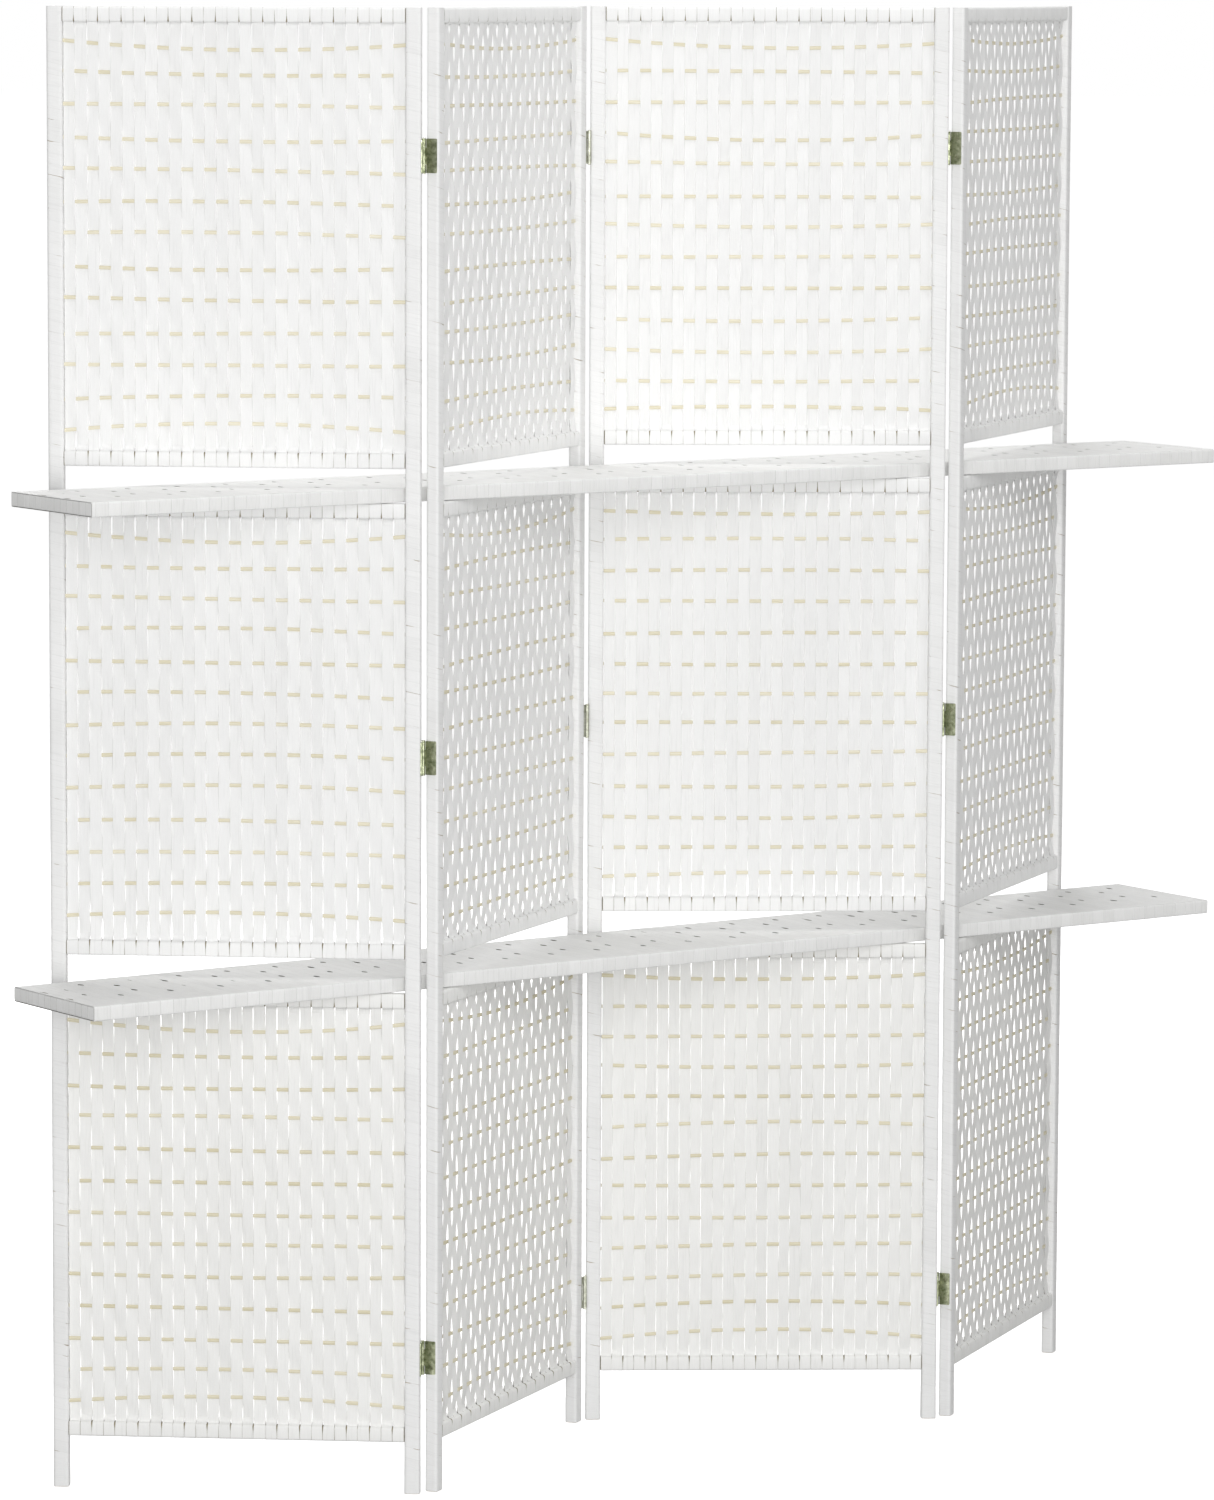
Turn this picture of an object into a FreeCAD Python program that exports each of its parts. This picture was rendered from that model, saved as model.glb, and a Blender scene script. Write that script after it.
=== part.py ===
import FreeCAD, Part
import math
import os

# Four-panel folding screen with two loose display shelves.
# Millimetres, +Z up, origin on the floor at the centre of the overall box.

V = FreeCAD.Vector

# ---- driving dimensions -------------------------------------------------
PANEL_H = 1800.0          # overall height, feet to top
PANEL_W = 450.0           # one panel, edge to edge
POST_W = 19.0             # post seen from the front, with its paper winding
POST_T = 16.0             # post front to back, with its paper winding
POST_R = 3.0              # rounding of the wound post
WRAP_T = 0.5              # thickness of the paper winding
WRAP_GAP = 0.05           # winding clear of the wood
WRAP_FOOT = 2.0           # winding stops this far above the floor

LEG_H = 63.0              # free leg below the lowest rail
SECTION_H = {"lower": 552.5, "middle": 552.5, "upper": 550.0}   # woven section, outside of its two rails
WINDOW_H = 41.0           # open slot between two sections

RAIL_H = 17.2             # wood of a rail, height
RAIL_T = 13.0             # wood of a rail, front to back
RAIL_R = 2.5
RAIL_END_GAP = 0.1        # shoulder of a rail clear of the winding
SLEEVE_H = 19.0           # rail with the strips turned round it, height
SLEEVE_T = 15.0           # rail with the strips turned round it, front to back
SLEEVE_GAP = 0.1
TENON_R = 4.0
TENON_L = 8.0
TENON_GAP = 0.05

WEAVE_T = 4.0             # depth taken by the woven strips
WEAVE_SIDE_GAP = 0.3      # weave clear of the posts
ROD_H = 4.8               # split rod, height
ROD_T = 1.8               # split rod, front to back
ROD_EDGE = 0.7            # rounding of a rod
ROD_BORE_R = 2.5          # round hole for a rod in a post
ROD_GAP = 0.15            # rod clear of the weave's simple solid
ROD_COUNT = 13            # rods in one section
ROD_FIRST = 44.0          # lowest rod above the section's bottom edge
ROD_LAST = {"lower": 43.5, "middle": 43.5, "upper": 41.0}   # highest rod below the section's top edge
ROD_IN = 6.0              # rod end inside the post

HINGE_H = 41.0
HINGE_Z = (166.0, 901.0, 1624.0)
HINGE_GAP = 3.0           # between the edges of two panels
PIN_OFF = 2.5             # pin axis outside the face it folds towards
LEAF_T = 1.2
LEAF_BACK = 2.0           # leaf stops short of the far corner of the post
KNUCKLE_R = 2.5
KNUCKLE_GAP = 0.2         # between knuckles, along the pin
KNUCKLE_CLEAR = 0.35      # leaf cut back round the other leaf's knuckle
PIN_R = 1.30
PIN_BORE_R = 1.35
PIN_HEAD_R = 2.1
PIN_HEAD_H = 1.1
SCREW_Z = 12.0            # screws above and below the hinge's middle
SCREW_N = 7.5             # screws from the face away from the pin
SCREW_R = 1.2
SCREW_HEAD_R = 2.35
SCREW_L = 12.0
SCREW_GAP = 0.05

# direction of each panel from +X, left to right, as the screen stands
HEADING = (-39.0, 32.5, -32.5, 34.0)

SHELF_L = 1690.0
SHELF_D = 190.0
SHELF_T = 18.0
SHELF_R = 2.5
SHELF_SET = 22.5          # back edge of a shelf in front of the middle pin
SHELF_LIFT = 0.4          # shelf clear of the rails it lies on
COVER_T = 0.8
COVER_GAP = 0.1
SHELF_RAIL_W = 18.0
SHELF_RAIL_END = 2.0      # long rail stops short of the cover's rounded inner corners
SHELF_BARS = 5            # cross bars of a shelf's frame

# ---- levels -------------------------------------------------------------
LEVELS = {}
z0 = LEG_H
for name in ("lower", "middle", "upper"):
    LEVELS[name] = (z0, z0 + SECTION_H[name])
    z0 += SECTION_H[name] + WINDOW_H
assert abs(LEVELS["upper"][1] - PANEL_H) < 1e-6

ROD_Z = {}
for name, (zb, zt) in LEVELS.items():
    step = (SECTION_H[name] - ROD_FIRST - ROD_LAST[name]) / (ROD_COUNT - 1)
    ROD_Z[name] = [zb + ROD_FIRST + step * k for k in range(ROD_COUNT)]

# ---- where the panels stand --------------------------------------------
def axes(i):
    a = math.radians(HEADING[i])
    return V(math.cos(a), math.sin(a), 0), V(-math.sin(a), math.cos(a), 0)


G2 = HINGE_GAP / 2.0
D1, N1 = axes(0)
D2, N2 = axes(1)
D3, N3 = axes(2)
D4, N4 = axes(3)
PIN = {"middle": V(0, 0, 0)}
FL = {}
FL[2] = PIN["middle"] + N2 * PIN_OFF - D2 * (G2 + PANEL_W)
PIN["left"] = FL[2] - D2 * G2 + N2 * (POST_T + PIN_OFF)
FL[1] = PIN["left"] - D1 * (G2 + PANEL_W) - N1 * (POST_T + PIN_OFF)
FL[3] = PIN["middle"] + D3 * G2 + N3 * PIN_OFF
PIN["right"] = FL[3] + D3 * (PANEL_W + G2) + N3 * (POST_T + PIN_OFF)
FL[4] = PIN["right"] + D4 * G2 - N4 * (POST_T + PIN_OFF)
AX = {1: (D1, N1), 2: (D2, N2), 3: (D3, N3), 4: (D4, N4)}

# the overall box, front to back, is set by the rounded corners of the posts
ylo, yhi = 1e9, -1e9
for i in FL:
    d, n = AX[i]
    for s in (POST_R, PANEL_W - POST_R):
        for t in (POST_R, POST_T - POST_R):
            y = (FL[i] + d * s + n * t).y
            ylo, yhi = min(ylo, y - POST_R), max(yhi, y + POST_R)
SHIFT = V(0, -(ylo + yhi) / 2.0, 0)
for key in PIN:
    PIN[key] = PIN[key] + SHIFT
for key in FL:
    FL[key] = FL[key] + SHIFT


def stand(shape, i):
    """A shape drawn in a panel's own frame, put where panel i stands."""
    rot = FreeCAD.Rotation(V(0, 0, 1), HEADING[i - 1])
    out = shape.copy()
    out.Placement = FreeCAD.Placement(FL[i], rot).multiply(out.Placement)
    return out


def box(x0, y0, z0, x1, y1, z1):
    return Part.makeBox(x1 - x0, y1 - y0, z1 - z0, V(x0, y0, z0))


def round_along(shape, axis, radius):
    """Round the edges of a box that run along one axis."""
    picked = []
    for e in shape.Edges:
        a, b = e.Vertexes[0].Point, e.Vertexes[-1].Point
        d = b - a
        if abs(getattr(d, axis)) > 0.999 * d.Length:
            picked.append(e)
    return shape.makeFillet(radius, picked)


def cyl(r, length, at, direction):
    return Part.makeCylinder(r, length, at, direction)


# ---- one panel, in its own frame: x along it, y to the back ------------
SX = V(1, 0, 0)
MID = POST_T / 2.0
ALL_RODS = [z for name in ("lower", "middle", "upper") for z in ROD_Z[name]]
RAIL_Z = []
for name in ("lower", "middle", "upper"):
    zb, zt = LEVELS[name]
    RAIL_Z += [zb + SLEEVE_H / 2.0, zt - SLEEVE_H / 2.0]


def joint_side(i, edge):
    """'back' or 'front' where the pin of that edge stands, or None."""
    table = {(1, "right"): "back", (2, "left"): "back", (2, "right"): "front",
             (3, "left"): "front", (3, "right"): "back", (4, "left"): "back"}
    return table.get((i, edge))


def screw_points(side):
    y = SCREW_N if side == "back" else POST_T - SCREW_N
    return [(y, z + dz) for z in HINGE_Z for dz in (-SCREW_Z, SCREW_Z)]


def post_holes(edge, side, rod_r, tenon_r, screw_r):
    """Everything that is bored into a post, as one compound."""
    cuts = []
    inner = POST_W if edge == "left" else PANEL_W - POST_W
    into = -1.0 if edge == "left" else 1.0
    for z in ALL_RODS:
        cuts.append(cyl(rod_r, ROD_IN + 1.0, V(inner - into, MID, z), SX * into))
    for z in RAIL_Z:
        cuts.append(cyl(tenon_r, TENON_L + 1.4, V(inner - into, MID, z), SX * into))
    if side:
        outer = 0.0 if edge == "left" else PANEL_W
        for y, z in screw_points(side):
            cuts.append(cyl(screw_r, SCREW_L + 1.5, V(outer + into, y, z), SX * -into))
    return cuts


def make_post(edge, side):
    x0 = 0.0 if edge == "left" else PANEL_W - POST_W
    wood = box(x0 + WRAP_T, WRAP_T, 0.0, x0 + POST_W - WRAP_T, POST_T - WRAP_T, PANEL_H - WRAP_T)
    wood = round_along(wood, "z", POST_R - WRAP_T)
    cuts = post_holes(edge, side, ROD_BORE_R, TENON_R + TENON_GAP, SCREW_R + SCREW_GAP)
    return wood.cut(Part.makeCompound(cuts))


def make_wrap(edge, side):
    x0 = 0.0 if edge == "left" else PANEL_W - POST_W
    outer = box(x0, 0.0, WRAP_FOOT, x0 + POST_W, POST_T, PANEL_H)
    outer = round_along(outer, "z", POST_R)
    g = WRAP_T - WRAP_GAP
    inner = box(x0 + g, g, 0.0, x0 + POST_W - g, POST_T - g, PANEL_H - g)
    inner = round_along(inner, "z", POST_R - g)
    cuts = post_holes(edge, side, ROD_BORE_R + 0.1, TENON_R + 0.15, SCREW_R + 0.1)
    return outer.cut(inner).cut(Part.makeCompound(cuts))


def make_rails(name):
    zb, zt = LEVELS[name]
    out = []
    for zc in (zb + SLEEVE_H / 2.0, zt - SLEEVE_H / 2.0):
        x0, x1 = POST_W + RAIL_END_GAP, PANEL_W - POST_W - RAIL_END_GAP
        bar = box(x0, MID - RAIL_T / 2, zc - RAIL_H / 2, x1, MID + RAIL_T / 2, zc + RAIL_H / 2)
        bar = round_along(bar, "x", RAIL_R)
        a = cyl(TENON_R, TENON_L + 2.0, V(x0 - TENON_L, MID, zc), SX)
        b = cyl(TENON_R, TENON_L + 2.0, V(x1 - 2.0, MID, zc), SX)
        out.append(bar.fuse([a, b]).removeSplitter())
    return Part.makeCompound([s for o in out for s in o.Solids])


def make_rods():
    x0 = POST_W - ROD_IN + 0.2
    x1 = PANEL_W - POST_W + ROD_IN - 0.2
    rods = []
    for z in ALL_RODS:
        rod = box(x0, MID - ROD_T / 2, z - ROD_H / 2, x1, MID + ROD_T / 2, z + ROD_H / 2)
        rods.append(round_along(rod, "x", ROD_EDGE))
    return Part.makeCompound(rods)


def make_weave(name):
    """Strips of one section: a thin slab with a sleeve round each rail."""
    zb, zt = LEVELS[name]
    x0 = POST_W + WEAVE_SIDE_GAP
    x1 = PANEL_W - POST_W - WEAVE_SIDE_GAP
    slab = box(x0, MID - WEAVE_T / 2, zb + SLEEVE_H / 2, x1, MID + WEAVE_T / 2, zt - SLEEVE_H / 2)
    solid = slab
    for zc in (zb + SLEEVE_H / 2.0, zt - SLEEVE_H / 2.0):
        sl = box(x0, MID - SLEEVE_T / 2, zc - SLEEVE_H / 2, x1, MID + SLEEVE_T / 2, zc + SLEEVE_H / 2)
        solid = solid.fuse(round_along(sl, "x", RAIL_R + 0.8))
    solid = solid.removeSplitter()
    cuts = []
    for zc in (zb + SLEEVE_H / 2.0, zt - SLEEVE_H / 2.0):
        hole = box(x0 - 1, MID - RAIL_T / 2 - SLEEVE_GAP, zc - RAIL_H / 2 - SLEEVE_GAP,
                   x1 + 1, MID + RAIL_T / 2 + SLEEVE_GAP, zc + RAIL_H / 2 + SLEEVE_GAP)
        cuts.append(round_along(hole, "x", RAIL_R))
    for z in ROD_Z[name]:
        slot = box(x0 - 1, MID - ROD_T / 2 - ROD_GAP, z - ROD_H / 2 - ROD_GAP,
                   x1 + 1, MID + ROD_T / 2 + ROD_GAP, z + ROD_H / 2 + ROD_GAP)
        cuts.append(round_along(slot, "x", ROD_EDGE))
    return solid.cut(Part.makeCompound(cuts))


# ---- hinges ------------------------------------------------------------
def knuckle_spans(zc, which):
    """Heights of one leaf's knuckles: 'ends' has two, 'centre' one."""
    h = HINGE_H
    q = h / 4.0
    g = KNUCKLE_GAP / 2.0
    if which == "ends":
        return [(zc - h / 2, zc - q - g), (zc + q + g, zc + h / 2)]
    return [(zc - q + g, zc + q - g)]


def make_leaves(edge, side, which):
    other = "centre" if which == "ends" else "ends"
    pin_x = PANEL_W + G2 if edge == "right" else -G2
    pin_y = POST_T + PIN_OFF if side == "back" else -PIN_OFF
    x0, x1 = (PANEL_W, PANEL_W + LEAF_T) if edge == "right" else (-LEAF_T, 0.0)
    if side == "back":
        y0, y1 = LEAF_BACK, pin_y
    else:
        y0, y1 = pin_y, POST_T - LEAF_BACK
    out_dir = SX if edge == "right" else SX * -1.0
    face = PANEL_W if edge == "right" else 0.0
    leaves = []
    for zc in HINGE_Z:
        leaf = box(x0, y0, zc - HINGE_H / 2, x1, y1, zc + HINGE_H / 2)
        far = [e for e in leaf.Edges
               if abs((e.Vertexes[0].Point - e.Vertexes[-1].Point).x) > 0.99 * LEAF_T
               and abs(e.Vertexes[0].Point.y - pin_y) > 4.0]
        leaf = leaf.makeFillet(1.5, far)
        for a, b in knuckle_spans(zc, other):
            leaf = leaf.cut(cyl(KNUCKLE_R + KNUCKLE_CLEAR, b - a + 2 * KNUCKLE_GAP,
                                V(pin_x, pin_y, a - KNUCKLE_GAP), V(0, 0, 1)))
        for a, b in knuckle_spans(zc, which):
            leaf = leaf.fuse(cyl(KNUCKLE_R, b - a, V(pin_x, pin_y, a), V(0, 0, 1)))
        leaf = leaf.removeSplitter()
        leaf = leaf.cut(cyl(PIN_BORE_R, HINGE_H + 4, V(pin_x, pin_y, zc - HINGE_H / 2 - 2), V(0, 0, 1)))
        for dz in (-SCREW_Z, SCREW_Z):
            y = SCREW_N if side == "back" else POST_T - SCREW_N
            at = V(face, y, zc + dz)
            sink = Part.makeCone(SCREW_R + SCREW_GAP, SCREW_HEAD_R + SCREW_GAP, LEAF_T, at, out_dir)
            leaf = leaf.cut(sink)
        leaves += leaf.Solids
    return Part.makeCompound(leaves)


def make_screws(edge, side):
    out_dir = SX if edge == "right" else SX * -1.0
    face = PANEL_W if edge == "right" else 0.0
    screws = []
    for y, z in screw_points(side):
        at = V(face, y, z)
        head = Part.makeCone(SCREW_R, SCREW_HEAD_R, LEAF_T, at, out_dir)
        shank = cyl(SCREW_R, SCREW_L - 2.0, at, out_dir * -1.0)
        tip = Part.makeCone(SCREW_R, 0.3, 2.0, at - out_dir * (SCREW_L - 2.0), out_dir * -1.0)
        s = head.fuse([shank, tip]).removeSplitter()
        slot = Part.makeBox(1.2, 6.0, 0.6, V(-0.6, -3.0, -0.3))
        slot.translate(at + out_dir * (LEAF_T + 0.05))
        s = s.cut(slot)
        screws += s.Solids
    return screws


def make_pins(where):
    pins = []
    for zc in HINGE_Z:
        p = PIN[where]
        b = zc - HINGE_H / 2
        shaft = cyl(PIN_R, HINGE_H + 0.4, V(p.x, p.y, b - 0.2), V(0, 0, 1))
        top = cyl(PIN_HEAD_R, PIN_HEAD_H, V(p.x, p.y, b + HINGE_H + 0.2), V(0, 0, 1))
        bot = cyl(PIN_HEAD_R, PIN_HEAD_H, V(p.x, p.y, b - 0.2 - PIN_HEAD_H), V(0, 0, 1))
        top = top.makeFillet(0.8, [e for e in top.Edges if e.Vertexes[0].Point.z > b + HINGE_H + 1.0
                                   and isinstance(e.Curve, Part.Circle)])
        bot = bot.makeFillet(0.8, [e for e in bot.Edges if e.Vertexes[0].Point.z < b - 1.0
                                   and isinstance(e.Curve, Part.Circle)])
        pins += shaft.fuse([top, bot]).removeSplitter().Solids
    return Part.makeCompound(pins)


# ---- shelves, in the screen's frame ------------------------------------
SHELF_Y1 = PIN["middle"].y - SHELF_SET
SHELF_Y0 = SHELF_Y1 - SHELF_D


def make_shelf(rail_top):
    zb = rail_top + SHELF_LIFT
    x0, x1 = -SHELF_L / 2, SHELF_L / 2
    outer = box(x0, SHELF_Y0, zb, x1, SHELF_Y1, zb + SHELF_T)
    outer = outer.makeFillet(SHELF_R, outer.Edges)
    c = COVER_T
    hollow = box(x0 + c, SHELF_Y0 + c, zb + c, x1 - c, SHELF_Y1 - c, zb + SHELF_T - c)
    hollow = hollow.makeFillet(SHELF_R - c, hollow.Edges)
    cover = outer.cut(hollow)
    k = COVER_T + COVER_GAP
    rails, bars = [], []
    ya = (SHELF_Y0 + k, SHELF_Y0 + k + SHELF_RAIL_W)
    yb = (SHELF_Y1 - k - SHELF_RAIL_W, SHELF_Y1 - k)
    zc = zb + SHELF_T / 2
    lo, hi = ya[1] + RAIL_END_GAP, yb[0] - RAIL_END_GAP
    first = x0 + k + SHELF_RAIL_W / 2 + 1.0
    xs = [first + (-2 * first) * j / (SHELF_BARS - 1) for j in range(SHELF_BARS)]
    for y0, y1 in (ya, yb):
        r = box(x0 + k + SHELF_RAIL_END, y0, zb + k, x1 - k - SHELF_RAIL_END, y1, zb + SHELF_T - k)
        r = round_along(r, "x", RAIL_R)
        into = -1.0 if y0 < lo else 1.0
        mouth = y1 if into < 0 else y0
        holes = [cyl(TENON_R + TENON_GAP, TENON_L + 1.4, V(x, mouth - into, zc), V(0, into, 0)) for x in xs]
        rails += r.cut(Part.makeCompound(holes)).Solids
    for x in xs:
        b = box(x - SHELF_RAIL_W / 2, lo, zb + k, x + SHELF_RAIL_W / 2, hi, zb + SHELF_T - k)
        b = round_along(b, "y", RAIL_R)
        t0 = cyl(TENON_R, TENON_L + 2, V(x, lo - TENON_L, zc), V(0, 1, 0))
        t1 = cyl(TENON_R, TENON_L + 2, V(x, hi - 2, zc), V(0, 1, 0))
        bars += b.fuse([t0, t1]).removeSplitter().Solids
    return cover, Part.makeCompound(rails), Part.makeCompound(bars)


# ---- write every node --------------------------------------------------
os.makedirs("parts", exist_ok=True)
NODES = {}

RODS = make_rods()
WEAVES = {name: make_weave(name) for name in LEVELS}
RAILS = {name: make_rails(name) for name in LEVELS}
KNUCKLES = {(1, "right"): "ends", (2, "left"): "centre", (2, "right"): "ends",
            (3, "left"): "centre", (3, "right"): "ends", (4, "left"): "centre"}

for i in (1, 2, 3, 4):
    wraps, screws = [], []
    for edge in ("left", "right"):
        side = joint_side(i, edge)
        NODES["panel_%d_%s_post" % (i, edge)] = stand(make_post(edge, side), i)
        wraps += make_wrap(edge, side).Solids
        if side:
            screws += make_screws(edge, side)
            label = "panel_%d_%s_hinge_leaves" % (i, edge)
            NODES[label] = stand(make_leaves(edge, side, KNUCKLES[(i, edge)]), i)
    NODES["panel_%d_post_wraps" % i] = stand(Part.makeCompound(wraps), i)
    NODES["panel_%d_hinge_screws" % i] = stand(Part.makeCompound(screws), i)
    NODES["panel_%d_rods" % i] = stand(RODS, i)
    for name in LEVELS:
        NODES["panel_%d_%s_rails" % (i, name)] = stand(RAILS[name], i)
        NODES["panel_%d_%s_weave" % (i, name)] = stand(WEAVES[name], i)

for where in PIN:
    NODES["%s_hinge_pins" % where] = make_pins(where)

for tier, name in (("lower", "lower"), ("upper", "middle")):
    cover, rails, bars = make_shelf(LEVELS[name][1])
    NODES["%s_shelf_cover" % tier] = cover
    NODES["%s_shelf_rails" % tier] = rails
    NODES["%s_shelf_cross_bars" % tier] = bars

total = None
for label in sorted(NODES):
    shape = NODES[label]
    shape.exportStep("parts/%s.step" % label)
    bb = shape.BoundBox
    total = bb if total is None else total
    total.add(bb)
    print("%-32s solids %3d valid %s volume %10.1f" % (label, len(shape.Solids), shape.isValid(), shape.Volume))
print("nodes", len(NODES))
print("box", [round(v, 3) for v in (total.XMin, total.XMax, total.YMin, total.YMax, total.ZMin, total.ZMax)])
for where in sorted(PIN):
    print("pin", where, [round(v, 4) for v in PIN[where]])
for i in sorted(FL):
    print("panel", i, "front left corner", [round(v, 4) for v in FL[i]])
print("shelf y", round(SHELF_Y0, 4), round(SHELF_Y1, 4))
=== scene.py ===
import math

import bpy
import numpy as np
from mathutils import Matrix, Vector


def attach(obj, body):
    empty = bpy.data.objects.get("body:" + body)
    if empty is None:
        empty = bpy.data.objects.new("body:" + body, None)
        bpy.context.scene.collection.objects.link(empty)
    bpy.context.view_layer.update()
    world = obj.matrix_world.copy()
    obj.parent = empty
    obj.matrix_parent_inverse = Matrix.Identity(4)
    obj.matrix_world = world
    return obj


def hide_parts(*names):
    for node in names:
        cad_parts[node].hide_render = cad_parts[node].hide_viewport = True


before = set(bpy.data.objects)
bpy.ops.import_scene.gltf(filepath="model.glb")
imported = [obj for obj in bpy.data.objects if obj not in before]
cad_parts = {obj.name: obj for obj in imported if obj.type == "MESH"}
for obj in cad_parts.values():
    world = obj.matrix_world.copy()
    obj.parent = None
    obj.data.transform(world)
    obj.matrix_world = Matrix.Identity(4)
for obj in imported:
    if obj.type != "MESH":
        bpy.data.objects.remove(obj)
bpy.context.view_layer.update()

# ---------------------------------------------------------------- sizes, mm
MM = 0.001
HEADING = {1: -39.0, 2: 32.5, 3: -32.5, 4: 34.0}
CORNER = {
    1: (-755.8634, 136.1004),
    2: (-382.1345, -148.4574),
    3: (2.6083, 93.3274),
    4: (404.9282, -148.159),
}
PANEL_H, PANEL_W, POST_W, POST_T, POST_R = 1800.0, 450.0, 19.0, 16.0, 3.0
MID = POST_T / 2
LEVELS = {"lower": (63.0, 615.5), "middle": (656.5, 1209.0), "upper": (1250.0, 1800.0)}
SLEEVE_H, RAIL_H, RAIL_T, RAIL_R = 19.0, 17.2, 13.0, 2.5
ROWS, ROD_STEP, ROD_R, ROD_HALF = 13, 38.75, 2.4, 0.9
ROD_TOP = {"lower": 572.0, "middle": 1165.5, "upper": 1759.0}
STRIPS = 29
SIDE0, SIDE1 = POST_W + 0.3, PANEL_W - POST_W - 0.3
PITCH = (SIDE1 - SIDE0) / STRIPS
STRIP_T = 0.54
SHELF_X, SHELF_Y0, SHELF_Y1, SHELF_T = 845.0, -120.4751, 69.5249, 18.0
SHELF_Z = {"lower": 615.9, "upper": 1209.4}

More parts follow.
